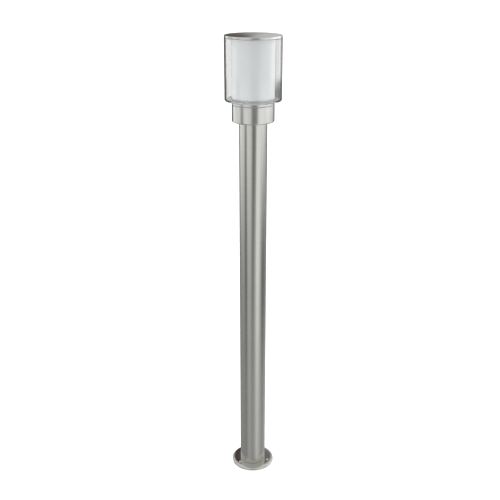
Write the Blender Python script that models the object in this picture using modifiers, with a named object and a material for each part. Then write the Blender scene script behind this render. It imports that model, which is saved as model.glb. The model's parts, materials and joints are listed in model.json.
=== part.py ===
"""Bollard light, about one metre tall, for a garden path.

A brushed steel pole stands on a round flange and carries a short collar.
On the collar sits the lamp head: a carrier ring, a clear cylinder with a
rounded bottom edge, an opal tube inside it and a flat steel lid. The collar
holds the wiring and the lampholder with its screw-in lamp.

Units are metres, +Z is up, and the origin is under the flange's centre.
"""
import math

import bmesh
import bpy
from mathutils import Matrix, Vector

# ---------------------------------------------------------------- driving dimensions
GAP = 0.0003            # left between pieces that touch
HEIGHT = 1.027          # floor to the top of the lid

POLE_R = 0.030
POLE_WALL = 0.0015
FLANGE_R = 0.050
FLANGE_T = 0.006
FLANGE_HOLE_R = 0.00275
FLANGE_HOLE_CIRCLE_R = 0.040
FLANGE_HOLE_ANGLES = (98, 218, 338)

COLLAR_R = 0.045
COLLAR_WALL = 0.0015
COLLAR_FLOOR = 0.002
COLLAR_Z = 0.8515       # underside of the collar
COLLAR_RIM_Z = 0.8870
HEAD_SCREW_Z = 0.8815

CARRIER_Z = 0.8885      # underside of the carrier ring's visible band
CARRIER_TOP_Z = 0.8935
CARRIER_BORE_R = 0.0345
SPIGOT_R = 0.0365
SKIRT_Z = 0.8765        # lower end of the carrier ring's skirt
SPIGOT_TOP_Z = 0.9040   # top of the carrier ring's spigot and of the ring that centres the opal tube
GLASS_R = 0.060
GLASS_WALL = 0.004
GLASS_CORNER_R = 0.004
GLASS_Z = 0.8949
GLASS_TOP_Z = 1.0217
OPAL_R = 0.045
OPAL_WALL = 0.002
LID_R = 0.0596
LID_SHEET = 0.0012
LID_RIM_Z = 1.0220

HOLDER_R = 0.021
HOLDER_Z = 0.8668
HOLDER_TOP_Z = 0.9068
SOCKET_FLOOR_Z = 0.8785
LAMP_R = 0.030
LAMP_TIP_Z = 0.8803
LAMP_SHOULDER_Z = 0.9066
THREAD_PITCH = 0.0254 / 7

CABLE_BORE_R = 0.0055
LEAD_R = 0.0011
SCREW_R = 0.0020        # M4
SCREW_HOLE_R = SCREW_R + GAP

SIDES_LARGE = 40
SIDES_HOLDER = 32
SIDES_MEDIUM = 24
SIDES_SMALL = 12

# ---------------------------------------------------------------- scene and materials
for leftover in list(bpy.data.objects):
    bpy.data.objects.remove(leftover)


def collection(name):
    """A new collection in the scene."""
    made = bpy.data.collections.new(name)
    bpy.context.scene.collection.children.link(made)
    return made


PARTS = collection("bollard_light")
CUTTERS = collection("cutters")


def material(name, colour, roughness, metallic=0.0, transmission=0.0):
    """A Principled material in one colour."""
    made = bpy.data.materials.new(name)
    made.use_nodes = True
    shader = made.node_tree.nodes["Principled BSDF"]
    shader.inputs["Base Color"].default_value = (*colour, 1.0)
    shader.inputs["Roughness"].default_value = roughness
    shader.inputs["Metallic"].default_value = metallic
    shader.inputs["Transmission Weight"].default_value = transmission
    made.diffuse_color = (*colour, 1.0)
    made.metallic = metallic
    made.roughness = roughness
    return made


BRUSHED = material("brushed_steel", (0.62, 0.62, 0.59), 0.32, 1.0)
POLISHED = material("polished_steel", (0.60, 0.59, 0.57), 0.18, 1.0)
SHEET = material("zinc_plated_steel", (0.66, 0.67, 0.68), 0.38, 1.0)
SCREW_STEEL = material("screw_steel", (0.55, 0.55, 0.55), 0.30, 1.0)
BRASS = material("brass", (0.78, 0.60, 0.28), 0.30, 1.0)
NICKEL = material("nickel_plate", (0.72, 0.69, 0.62), 0.25, 1.0)
ALUMINIUM = material("board_aluminium", (0.86, 0.87, 0.86), 0.45, 1.0)
CLEAR = material("clear_glass", (0.96, 0.98, 0.98), 0.02, 0.0, 1.0)
OPAL = material("opal_plastic", (0.88, 0.90, 0.90), 0.25, 0.0, 0.2)
GLOBE = material("lamp_opal", (0.93, 0.93, 0.90), 0.45, 0.0, 0.2)
WHITE = material("white_plastic", (0.85, 0.85, 0.83), 0.40)
CERAMIC = material("white_ceramic", (0.88, 0.87, 0.83), 0.18)
RUBBER = material("black_rubber", (0.03, 0.03, 0.03), 0.75)
SILICONE = material("silicone", (0.75, 0.77, 0.76), 0.45)
BLACK_GLASS = material("black_glass", (0.02, 0.02, 0.03), 0.12)
NYLON = material("natural_nylon", (0.82, 0.80, 0.72), 0.50)
BROWN = material("brown_insulation", (0.20, 0.09, 0.04), 0.45)
BLUE = material("blue_insulation", (0.04, 0.16, 0.50), 0.45)
GREEN = material("green_insulation", (0.10, 0.42, 0.10), 0.45)


# ---------------------------------------------------------------- modelling helpers
def arc(centre_r, centre_z, radius, start, end, steps):
    """Points of a circular arc in the outline plane, angles in degrees."""
    points = []
    for i in range(steps + 1):
        angle = math.radians(start + (end - start) * i / steps)
        points.append((centre_r + radius * math.cos(angle), centre_z + radius * math.sin(angle)))
    return points


def ring_outline(inner, outer, low, high, chamfer=0.0):
    """A square-cut ring's section, with its outer edges chamfered."""
    if chamfer == 0.0:
        return [(inner, high), (outer, high), (outer, low), (inner, low)]
    return [
        (inner, high), (outer - chamfer, high), (outer, high - chamfer),
        (outer, low + chamfer), (outer - chamfer, low), (inner, low),
    ]


def finish(obj, mat, home):
    """Give an object its material and its collection."""
    obj.data.materials.clear()
    obj.data.materials.append(mat)
    home.objects.link(obj)
    return obj


def turned(name, outline, mat, sides=SIDES_LARGE, home=None):
    """Turn an outline of (radius, height) points, run down its outer side, about Z."""
    count = len(outline)
    on_axis = outline[0][0] == 0.0 and outline[-1][0] == 0.0
    edges = [(i, i + 1) for i in range(count - 1)]
    if not on_axis:
        edges.append((count - 1, 0))
    mesh = bpy.data.meshes.new(name)
    mesh.from_pydata([(r, 0.0, z) for r, z in outline], edges, [])
    obj = finish(bpy.data.objects.new(name, mesh), mat, home or PARTS)
    screw = obj.modifiers.new("turn", "SCREW")
    screw.steps = sides
    screw.render_steps = sides
    screw.use_merge_vertices = True
    screw.merge_threshold = 0.00001
    screw.use_smooth_shade = False
    return obj


def box(name, low, high, mat, home=None):
    """A box between two corners."""
    low, high = Vector(low), Vector(high)
    bm = bmesh.new()
    bmesh.ops.create_cube(bm, size=1.0)
    size = high - low
    bmesh.ops.scale(bm, vec=size, verts=bm.verts)
    bmesh.ops.translate(bm, vec=(low + high) / 2, verts=bm.verts)
    mesh = bpy.data.meshes.new(name)
    bm.to_mesh(mesh)
    bm.free()
    return finish(bpy.data.objects.new(name, mesh), mat, home or PARTS)


def rod(name, start, end, radius, mat, sides=SIDES_SMALL, end_radius=None, home=None):
    """A straight round bar, or a cone with another radius at its end."""
    start, end = Vector(start), Vector(end)
    length = (end - start).length
    bm = bmesh.new()
    bmesh.ops.create_cone(
        bm, cap_ends=True, segments=sides, radius1=radius,
        radius2=radius if end_radius is None else end_radius, depth=length,
    )
    turn = (end - start).to_track_quat("Z", "Y").to_matrix().to_4x4()
    bm.transform(Matrix.Translation((start + end) / 2) @ turn)
    mesh = bpy.data.meshes.new(name)
    bm.to_mesh(mesh)
    bm.free()
    return finish(bpy.data.objects.new(name, mesh), mat, home or PARTS)


def boolean(obj, other, operation):
    """Cut another object from this one, or join it on, and keep it as a hidden guide."""
    other.hide_render = True
    other.display_type = "WIRE"
    step = obj.modifiers.new(operation.lower(), "BOOLEAN")
    step.operation = operation
    step.solver = "EXACT"
    step.object = other


def drill(obj, start, end, radius, sides=SIDES_SMALL, end_radius=None):
    """Cut a straight round hole, or a countersink."""
    number = len(obj.modifiers)
    cutter = rod(
        f"{obj.name}_hole_{number}", start, end, radius, SHEET, sides, end_radius, CUTTERS)
    boolean(obj, cutter, "DIFFERENCE")


def drill_down(obj, x, y, radius, high, low, sides=SIDES_SMALL):
    """Cut a vertical hole between two heights."""
    drill(obj, (x, y, high), (x, y, low), radius, sides)


def shade(obj, angle=35.0):
    """Apply an object's modifiers and shade its round faces smooth."""
    bpy.context.view_layer.update()
    evaluated = obj.evaluated_get(bpy.context.evaluated_depsgraph_get())
    mesh = bpy.data.meshes.new_from_object(evaluated)
    mesh.shade_smooth()
    mesh.set_sharp_from_angle(angle=math.radians(angle))
    obj.modifiers.clear()
    obj.data = mesh
    return obj


def smooth_route(points, per_span=2):
    """Points along a Catmull-Rom curve through a route's own points."""
    ends = [points[0] * 2 - points[1], *points, points[-1] * 2 - points[-2]]
    route = []
    for a, b, c, d in zip(ends, ends[1:], ends[2:], ends[3:]):
        for i in range(per_span):
            t = i / per_span
            route.append(0.5 * (
                2 * b + (c - a) * t + (2 * a - 5 * b + 4 * c - d) * t ** 2
                + (3 * b - a - 3 * c + d) * t ** 3))
    route.append(points[-1])
    return route


def lead(name, points, mat):
    """An insulated single-core lead along a route."""
    curve = bpy.data.curves.new(name, "CURVE")
    curve.dimensions = "3D"
    curve.bevel_depth = LEAD_R
    curve.bevel_resolution = 2
    curve.use_fill_caps = True
    route = smooth_route([Vector(p) for p in points])
    spline = curve.splines.new("POLY")
    spline.points.add(len(route) - 1)
    for point, place in zip(spline.points, route):
        point.co = (*place, 1.0)
    return finish(bpy.data.objects.new(name, curve), mat, PARTS)


def pan_screw(name, x, y, seat_z, length, mat=SCREW_STEEL, radius=SCREW_R):
    """A domed screw pointing down, its head resting at seat_z."""
    head_r = 1.8 * radius
    head_h = 1.2 * radius
    outline = [
        (0.0, seat_z + head_h), (0.6 * head_r, seat_z + 0.92 * head_h),
        (head_r, seat_z + 0.45 * head_h), (head_r, seat_z), (radius, seat_z),
        (radius, seat_z - length + 0.0005), (radius - 0.0005, seat_z - length),
        (0.0, seat_z - length),
    ]
    screw = turned(name, outline, mat, SIDES_SMALL)
    screw.location = (x, y, 0.0)
    return shade(screw)


def polar(radius, degrees):
    """A point on a circle about the pole's axis."""
    angle = math.radians(degrees)
    return radius * math.cos(angle), radius * math.sin(angle)


def mount_under(empty_name, height, children):
    """Parent pieces to an empty on the pole's axis, without moving them."""
    empty = bpy.data.objects.new(empty_name, None)
    empty.location = (0.0, 0.0, height)
    empty.empty_display_size = 0.03
    PARTS.objects.link(empty)
    for child in children:
        child.parent = empty
        child.matrix_parent_inverse = Matrix.Translation((0.0, 0.0, -height))


# ---------------------------------------------------------------- where the wiring sits
FLOOR_TOP_Z = COLLAR_Z + COLLAR_FLOOR
REST_Z = FLOOR_TOP_Z + GAP               # the underside of what lies in the collar
POLE_TOP_Z = COLLAR_Z - GAP
TOP_PLATE_T = 0.004
BRACKET_T = 0.0015
BRACKET_SCREWS = ((-0.023, 0.0), (0.023, 0.0))
COLLAR_SCREWS = ((-0.014, -0.017), (0.014, -0.017))
HOLDER_SCREWS = ((-0.012, 0.0), (0.012, 0.0))
EARTH_SCREW = (0.017, 0.017)
TERMINAL_X = (-0.008, 0.0, 0.008)
TERMINAL_Y = 0.028
TERMINAL_WAY_Z = 0.8605
LEAD_ENTRY_X = 0.008
LEAD_ENTRY_Z = 0.8725


# ---------------------------------------------------------------- pole and foot
def make_base_flange():
    """Round foot with a locating spigot, a recess for the grommet and three fixing holes."""
    edge = 0.0025
    spigot_r = POLE_R - POLE_WALL - GAP
    spigot_top = FLANGE_T + 0.010
    outline = [(0.010, FLANGE_T), (0.025, FLANGE_T), (0.025, spigot_top)]
    outline += [(spigot_r, spigot_top), (spigot_r, FLANGE_T)]
    outline += arc(FLANGE_R - edge, FLANGE_T - edge, edge, 90, 0, 3)
    outline += [(FLANGE_R, 0.0006), (FLANGE_R - 0.0006, 0.0)]
    outline += [(0.016, 0.0), (0.016, 0.002), (0.010, 0.002)]
    flange = turned("base_flange", outline, POLISHED)
    for angle in FLANGE_HOLE_ANGLES:
        x, y = polar(FLANGE_HOLE_CIRCLE_R, angle)
        drill_down(flange, x, y, FLANGE_HOLE_R, 0.008, -0.002)
        sink_depth = 0.0010
        top_r = FLANGE_HOLE_R + 0.0012
        drill(flange, (x, y, FLANGE_T - sink_depth), (x, y, FLANGE_T + sink_depth / 5),
              FLANGE_HOLE_R - 0.0001, SIDES_SMALL, top_r)
    shade(flange)


def make_grommet(name, web_low, web_high, hole_r):
    """Rubber cable grommet gripping the edge of a hole in a plate."""
    lip_r = hole_r + 0.0025
    lip_t = 0.0014
    outline = [
        (CABLE_BORE_R, web_high + GAP + lip_t), (lip_r - 0.0006, web_high + GAP + lip_t),
        (lip_r, web_high + GAP + 0.0006), (lip_r, web_high + GAP), (hole_r - GAP, web_high + GAP),
        (hole_r - GAP, web_low - GAP), (lip_r, web_low - GAP), (lip_r, web_low - GAP - 0.0006),
        (lip_r - 0.0006, web_low - GAP - lip_t), (CABLE_BORE_R, web_low - GAP - lip_t),
    ]
    shade(turned(name, outline, RUBBER, SIDES_MEDIUM))


def make_pole():
    """The long tube, with the plate welded in its top."""
    tube = ring_outline(POLE_R - POLE_WALL, POLE_R, FLANGE_T + GAP, POLE_TOP_Z)
    shade(turned("pole_tube", tube, BRUSHED))
    low = POLE_TOP_Z - TOP_PLATE_T
    plate = turned(
        "pole_top_plate",
        ring_outline(0.0112, POLE_R - POLE_WALL - GAP, low, POLE_TOP_Z), SHEET,
        SIDES_MEDIUM)
    for x, y in (*BRACKET_SCREWS, *COLLAR_SCREWS, EARTH_SCREW):
        drill_down(plate, x, y, SCREW_HOLE_R, POLE_TOP_Z + 0.002, low - 0.002)
    shade(plate)


# ---------------------------------------------------------------- collar
def make_collar_cup():
    """Drawn steel cup that carries the head and hides the wiring."""
    inner = COLLAR_R - COLLAR_WALL
    edge = 0.002
    outline = [(inner, COLLAR_RIM_Z), (COLLAR_R - 0.0004, COLLAR_RIM_Z)]
    outline += [(COLLAR_R, COLLAR_RIM_Z - 0.0004)]
    outline += arc(COLLAR_R - edge, COLLAR_Z + edge, edge, 0, -90, 3)
    outline += [(0.008, COLLAR_Z), (0.008, FLOOR_TOP_Z)]
    outline += [(inner - 0.0015, FLOOR_TOP_Z), (inner, FLOOR_TOP_Z + 0.0015)]
    cup = turned("collar_cup", outline, BRUSHED)
    for x, y in (*BRACKET_SCREWS, *COLLAR_SCREWS, EARTH_SCREW):
        drill_down(cup, x, y, SCREW_HOLE_R, FLOOR_TOP_Z + 0.002, COLLAR_Z - 0.002)
    for side in (-1, 1):
        drill(cup, (side * (inner - 0.003), 0.0, HEAD_SCREW_Z),
              (side * (COLLAR_R + 0.003), 0.0, HEAD_SCREW_Z), SCREW_HOLE_R)
    shade(cup)


def make_head_screws():
    """Two set screws in weld nuts, which grip the carrier ring's skirt."""
    skirt_r = 0.038
    nut_inner = 0.040
    nut_outer = COLLAR_R - COLLAR_WALL - 2 * GAP
    tip = skirt_r + GAP
    length = COLLAR_R - 0.0001 - tip
    for side, word in ((-1, "left"), (1, "right")):
        nut = rod(f"weld_nut_{word}", (side * nut_inner, 0.0, HEAD_SCREW_Z),
                  (side * nut_outer, 0.0, HEAD_SCREW_Z), 0.004, SHEET, 6)
        drill(nut, (side * (nut_inner - 0.002), 0.0, HEAD_SCREW_Z),
              (side * (nut_outer + 0.002), 0.0, HEAD_SCREW_Z), SCREW_HOLE_R)
        shade(nut)
        outline = [
            (0.0, length - 0.0020), (0.0011, length - 0.0020), (0.0011, length),
            (SCREW_R - 0.0004, length), (SCREW_R, length - 0.0004), (SCREW_R, 0.0006),
            (0.0012, 0.0), (0.0, 0.0),
        ]
        screw = turned(f"head_screw_{word}", outline, SCREW_STEEL, SIDES_SMALL)
        shade(screw)
        screw.location = (side * tip, 0.0, HEAD_SCREW_Z)
        screw.rotation_euler = (0.0, side * math.pi / 2, 0.0)


def make_holder_bracket():
    """Strap that bridges the cable grommet and lifts the lampholder."""
    half_width = 0.008
    foot_end = 0.028
    leg_x = 0.01725
    foot_z = REST_Z + BRACKET_T / 2
    bridge_z = HOLDER_Z - GAP - BRACKET_T / 2
    line = [(-foot_end, foot_z), (-leg_x, foot_z), (-leg_x, bridge_z)]
    line += [(-x, z) for x, z in reversed(line)]
    points = [(x, y, z) for x, z in line for y in (-half_width, half_width)]
    faces = [(2 * i, 2 * i + 2, 2 * i + 3, 2 * i + 1) for i in range(len(line) - 1)]
    mesh = bpy.data.meshes.new("holder_bracket")
    mesh.from_pydata(points, [], faces)
    strap = finish(bpy.data.objects.new("holder_bracket", mesh), SHEET, PARTS)
    thick = strap.modifiers.new("sheet", "SOLIDIFY")
    thick.thickness = BRACKET_T
    thick.offset = 0.0
    thick.use_even_offset = True
    for x, y in BRACKET_SCREWS:
        drill_down(strap, x, y, SCREW_HOLE_R, foot_z + 0.003, foot_z - 0.003)
    for x, y in HOLDER_SCREWS:
        drill_down(strap, x, y, SCREW_HOLE_R, bridge_z + 0.003, bridge_z - 0.003)
    shade(strap)


def make_lampholder():
    """Ceramic lampholder with its threaded shell and centre contact."""
    bore = 0.0150
    outline = [(0.0, SOCKET_FLOOR_Z), (bore, SOCKET_FLOOR_Z), (bore, HOLDER_TOP_Z - 0.0005)]
    outline += [(bore + 0.0005, HOLDER_TOP_Z)]
    outline += arc(HOLDER_R - 0.0015, HOLDER_TOP_Z - 0.0015, 0.0015, 90, 0, 2)
    outline += [(HOLDER_R, HOLDER_Z + 0.0008), (HOLDER_R - 0.0008, HOLDER_Z), (0.0, HOLDER_Z)]
    body = turned("lampholder_body", outline, CERAMIC, SIDES_HOLDER)
    for x, y in HOLDER_SCREWS:
        drill_down(body, x, y, SCREW_HOLE_R, HOLDER_Z + 0.0075, HOLDER_Z - 0.002)
    for side in (-1, 1):
        drill(body, (side * LEAD_ENTRY_X, -0.024, LEAD_ENTRY_Z),
              (side * LEAD_ENTRY_X, -0.0135, LEAD_ENTRY_Z), 0.0018)
    shade(body)
    shell = ring_outline(0.0141, bore - GAP, SOCKET_FLOOR_Z + 0.0035, HOLDER_TOP_Z - 0.0018)
    shade(turned("socket_shell", shell, BRASS, SIDES_MEDIUM))
    top = LAMP_TIP_Z - GAP
    contact = [
        (0.0, top), (0.0022, top), (0.0040, top - 0.0006), (0.0040, SOCKET_FLOOR_Z + GAP),
        (0.0, SOCKET_FLOOR_Z + GAP),
    ]
    shade(turned("centre_contact", contact, BRASS, SIDES_SMALL))
    head_z = HOLDER_Z - GAP - BRACKET_T - GAP
    for (x, y), word in zip(HOLDER_SCREWS, ("left", "right")):
        screw = pan_screw(f"holder_screw_{word}", 0.0, 0.0, 0.0, 0.0075, radius=0.0018)
        screw.rotation_euler = (math.pi, 0.0, 0.0)
        screw.location = (x, y, head_z)


def make_terminals():
    """Three-pole terminal block with its clamping screws, and the earth screw and tag."""
    depth = 0.0125
    low_y = TERMINAL_Y - 0.0035
    top = REST_Z + 0.0162
    block = box("terminal_block", (-0.013, low_y, REST_Z), (0.013, low_y + depth, top), NYLON)
    for x in TERMINAL_X:
        drill(block, (x, low_y - 0.002, TERMINAL_WAY_Z),
              (x, low_y + depth + 0.002, TERMINAL_WAY_Z), 0.0019)
        drill_down(block, x, TERMINAL_Y, 0.0022, top + 0.002, TERMINAL_WAY_Z)
    shade(block, 30.0)
    screw_low = TERMINAL_WAY_Z + LEAD_R + 0.0004
    for x, word in zip(TERMINAL_X, ("live", "earth", "neutral")):
        outline = [
            (0.0, screw_low + 0.0060), (0.0015, screw_low + 0.0060),
            (0.0019, screw_low + 0.0056), (0.0019, screw_low + 0.0004),
            (0.0015, screw_low), (0.0, screw_low),
        ]
        screw = turned(f"terminal_screw_{word}", outline, BRASS, SIDES_SMALL)
        screw.location = (x, TERMINAL_Y, 0.0)
        shade(screw)
    x, y = EARTH_SCREW
    tag_t = 0.0008
    tag = rod("earth_tag", (x, y, REST_Z), (x, y, REST_Z + tag_t), 0.0040, BRASS, SIDES_MEDIUM)
    tongue = box("earth_tag_tongue", (x - 0.0085, y - 0.0018, REST_Z),
                 (x - 0.0030, y + 0.0018, REST_Z + tag_t), BRASS, CUTTERS)
    boolean(tag, tongue, "UNION")
    drill_down(tag, x, y, SCREW_HOLE_R, REST_Z + 0.003, REST_Z - 0.003)
    shade(tag)
    pan_screw("earth_screw", x, y, REST_Z + tag_t + GAP, 0.0072)


def make_leads():
    """The leads between the terminal block, the lampholder and the earth tag."""
    for name, side, mat in (("lead_live", -1, BROWN), ("lead_neutral", 1, BLUE)):
        lead(name, [
            (side * 0.0080, 0.0290, TERMINAL_WAY_Z), (side * 0.0080, 0.0235, TERMINAL_WAY_Z),
            (side * 0.0088, 0.0120, 0.8598), (side * 0.0090, -0.0080, 0.8597),
            (side * 0.0090, -0.0210, 0.8601), (side * 0.0090, -0.0280, 0.8627),
            (side * 0.0088, -0.0305, 0.8671), (side * 0.0084, -0.0282, 0.8713),
            (side * LEAD_ENTRY_X, -0.0235, LEAD_ENTRY_Z),
            (side * LEAD_ENTRY_X, -0.0160, LEAD_ENTRY_Z),
        ], mat)
    lead("lead_earth", [
        (0.0, 0.0290, TERMINAL_WAY_Z), (0.0, 0.0238, TERMINAL_WAY_Z),
        (0.0015, 0.0200, 0.8591), (0.0055, 0.0178, 0.8571), (0.0095, 0.0171, 0.8564),
        (0.0126, 0.0170, 0.8563),
    ], GREEN)


def make_collar():
    """The collar with everything screwed into it."""
    make_collar_cup()
    make_grommet("collar_grommet", COLLAR_Z, FLOOR_TOP_Z, 0.008)
    seam = ring_outline(COLLAR_R - COLLAR_WALL, COLLAR_R - 0.0002,
                        COLLAR_RIM_Z + GAP, CARRIER_Z - GAP)
    shade(turned("collar_gasket", seam, SILICONE, SIDES_HOLDER))
    make_head_screws()
    make_holder_bracket()
    bracket_seat = REST_Z + BRACKET_T + GAP
    for (x, y), word in zip(BRACKET_SCREWS, ("left", "right")):
        pan_screw(f"bracket_screw_{word}", x, y, bracket_seat, 0.0085)
    for (x, y), word in zip(COLLAR_SCREWS, ("left", "right")):
        pan_screw(f"collar_screw_{word}", x, y, REST_Z, 0.0068)
    make_lampholder()
    make_terminals()
    make_leads()


# ---------------------------------------------------------------- head
def make_carrier_ring():
    """Ring whose band shows above the collar, with a skirt inside it and a spigot on top."""
    skirt_r = 0.038
    skirt_inner = 0.036
    step_r = COLLAR_R - COLLAR_WALL - GAP
    step_z = COLLAR_RIM_Z - 0.001
    edge = 0.0004
    outline = [(CARRIER_BORE_R, SPIGOT_TOP_Z), (SPIGOT_R, SPIGOT_TOP_Z), (SPIGOT_R, CARRIER_TOP_Z)]
    outline += [(COLLAR_R - edge, CARRIER_TOP_Z), (COLLAR_R, CARRIER_TOP_Z - edge)]
    outline += [(COLLAR_R, CARRIER_Z + edge), (COLLAR_R - edge, CARRIER_Z)]
    outline += [(step_r, CARRIER_Z), (step_r, step_z), (skirt_r, step_z), (skirt_r, SKIRT_Z)]
    outline += [(skirt_inner, SKIRT_Z), (CARRIER_BORE_R, step_z)]
    return shade(turned("carrier_ring", outline, BRUSHED))


def make_clear_cylinder():
    """Thick clear cup with a rounded bottom edge; the opal tube stands in its floor's hole."""
    inner = GLASS_R - GLASS_WALL
    hole_r = OPAL_R + GAP
    corner_z = GLASS_Z + GLASS_CORNER_R
    corner_r = GLASS_R - GLASS_CORNER_R
    floor_top = GLASS_Z + GLASS_WALL
    outline = [(inner, GLASS_TOP_Z), (GLASS_R - 0.0005, GLASS_TOP_Z)]
    outline += [(GLASS_R, GLASS_TOP_Z - 0.0005)]
    outline += arc(corner_r, corner_z, GLASS_CORNER_R, 0, -90, 4)
    outline += [(hole_r, GLASS_Z), (hole_r, floor_top)]
    outline += [(inner - 0.001, floor_top), (inner, floor_top + 0.001)]
    return shade(turned("clear_cylinder", outline, CLEAR))


def make_lid():
    """Flat pressed lid with a short rim, on a moulded insert that plugs the opal tube."""
    edge = 0.0012
    rim_inner = LID_R - LID_SHEET
    outline = [(0.0, HEIGHT), *arc(LID_R - edge, HEIGHT - edge, edge, 90, 0, 3)]
    outline += [(LID_R, LID_RIM_Z + 0.0003), (LID_R - 0.0003, LID_RIM_Z)]
    outline += [(rim_inner, LID_RIM_Z), (rim_inner, HEIGHT - LID_SHEET)]
    outline += [(0.0, HEIGHT - LID_SHEET)]
    lid = shade(turned("lid", outline, POLISHED))
    top = HEIGHT - LID_SHEET - GAP
    low = LID_RIM_Z + 0.0011
    plug_r = OPAL_R - OPAL_WALL - GAP
    plug = [
        (0.0, top), (rim_inner - GAP, top), (rim_inner - GAP, low), (plug_r, low),
        (plug_r, low - 0.0036), (0.0, low - 0.0036),
    ]
    insert = shade(turned("lid_insert", plug, WHITE))
    seal = ring_outline(GLASS_R - GLASS_WALL + 0.0002, rim_inner - GAP, LID_RIM_Z, low - GAP)
    return [lid, insert, shade(turned("lid_gasket", seal, SILICONE, SIDES_MEDIUM))]


def make_head():
    """Everything that lifts off the collar in one piece."""
    pieces = [make_carrier_ring(), make_clear_cylinder()]
    lower = ring_outline(0.038, OPAL_R - GAP, CARRIER_TOP_Z + GAP, GLASS_Z - GAP)
    pieces.append(shade(turned("lower_glass_gasket", lower, SILICONE, SIDES_MEDIUM)))
    opal_inner = OPAL_R - OPAL_WALL
    centring = ring_outline(SPIGOT_R + GAP, opal_inner - GAP, GLASS_Z, SPIGOT_TOP_Z, 0.0004)
    pieces.append(shade(turned("centring_ring", centring, NYLON)))
    opal = ring_outline(opal_inner, OPAL_R, GLASS_Z, LID_RIM_Z + 0.0006)
    pieces.append(shade(turned("opal_tube", opal, OPAL)))
    floor_top = GLASS_Z + GLASS_WALL
    seal = ring_outline(OPAL_R + GAP, OPAL_R + 0.0020, floor_top + GAP, floor_top + 0.0011)
    pieces.append(shade(turned("glass_seal", seal, SILICONE, SIDES_LARGE)))
    pieces += make_lid()
    mount_under("head_axis", CARRIER_Z, pieces)


# ---------------------------------------------------------------- lamp
def make_lamp():
    """Screw-in lamp: contact tip, insulator, threaded cap, housing, board and globe."""
    tip_top = LAMP_TIP_Z + 0.0025
    tip = [(0.0, tip_top), (0.0045, tip_top), (0.0045, LAMP_TIP_Z + 0.0012)]
    tip += [(0.0028, LAMP_TIP_Z), (0.0, LAMP_TIP_Z)]
    cap_low = LAMP_TIP_Z + 0.0075
    insulator = [(0.0, cap_low - GAP), (0.0110, cap_low - GAP), (0.0070, tip_top + GAP)]
    insulator += [(0.0, tip_top + GAP)]
    cap_top = LAMP_SHOULDER_Z - GAP
    half = THREAD_PITCH / 2
    ridges = int((cap_top - cap_low - 0.003) / half)
    thread = [(0.0132 - 0.0009 * (i % 2), cap_top - 0.003 - i * half) for i in range(ridges + 1)]
    cap = [(0.0110, cap_top), (0.0132, cap_top), (0.0123, cap_top - 0.0015), *thread]
    cap += [(0.0112, cap_low), (0.0100, cap_low)]
    rim_z = 0.9445
    housing = [
        (0.0270, rim_z), (0.0288, rim_z), (0.0240, 0.9325), (0.0175, 0.9175),
        (0.0145, LAMP_SHOULDER_Z + 0.003), (0.0140, LAMP_SHOULDER_Z),
        (0.0122, LAMP_SHOULDER_Z), (0.0157, 0.9175), (0.0222, 0.9325),
    ]
    board_top = rim_z - 0.0010
    board = [(0.0, board_top), (0.0252, board_top), (0.0252, board_top - 0.0012)]
    board += [(0.0, board_top - 0.0012)]
    centre_z = rim_z + 0.012
    wall = 0.0015
    start = -math.degrees(math.asin((centre_z - rim_z - GAP) / LAMP_R))
    outside = arc(0.0, centre_z, LAMP_R, 90, start, 8)
    inside = arc(0.0, centre_z, LAMP_R - wall, start, 90, 6)
    inside[0] = (outside[-1][0] - wall, outside[-1][1])
    outside[0] = (0.0, centre_z + LAMP_R)
    inside[-1] = (0.0, centre_z + LAMP_R - wall)
    pieces = [
        turned("lamp_tip", tip, NICKEL, SIDES_SMALL),
        turned("lamp_insulator", insulator, BLACK_GLASS, SIDES_MEDIUM),
        turned("lamp_cap", cap, NICKEL, SIDES_MEDIUM),
        turned("lamp_housing", housing, WHITE, SIDES_MEDIUM),
        turned("led_board", board, ALUMINIUM, SIDES_MEDIUM),
        turned("lamp_globe", outside + inside, GLOBE, SIDES_MEDIUM),
    ]
    mount_under("lamp_axis", LAMP_SHOULDER_Z, [shade(piece) for piece in pieces])


make_base_flange()
make_grommet("foot_grommet", 0.002, FLANGE_T, 0.010)
make_pole()
make_collar()
make_head()
make_lamp()
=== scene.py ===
"""Looks of the bollard light: fine meshes, procedural materials, studio and camera."""
import json
import math
import random

import bmesh
import bpy
import numpy as np
from mathutils import Matrix, Vector


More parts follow.
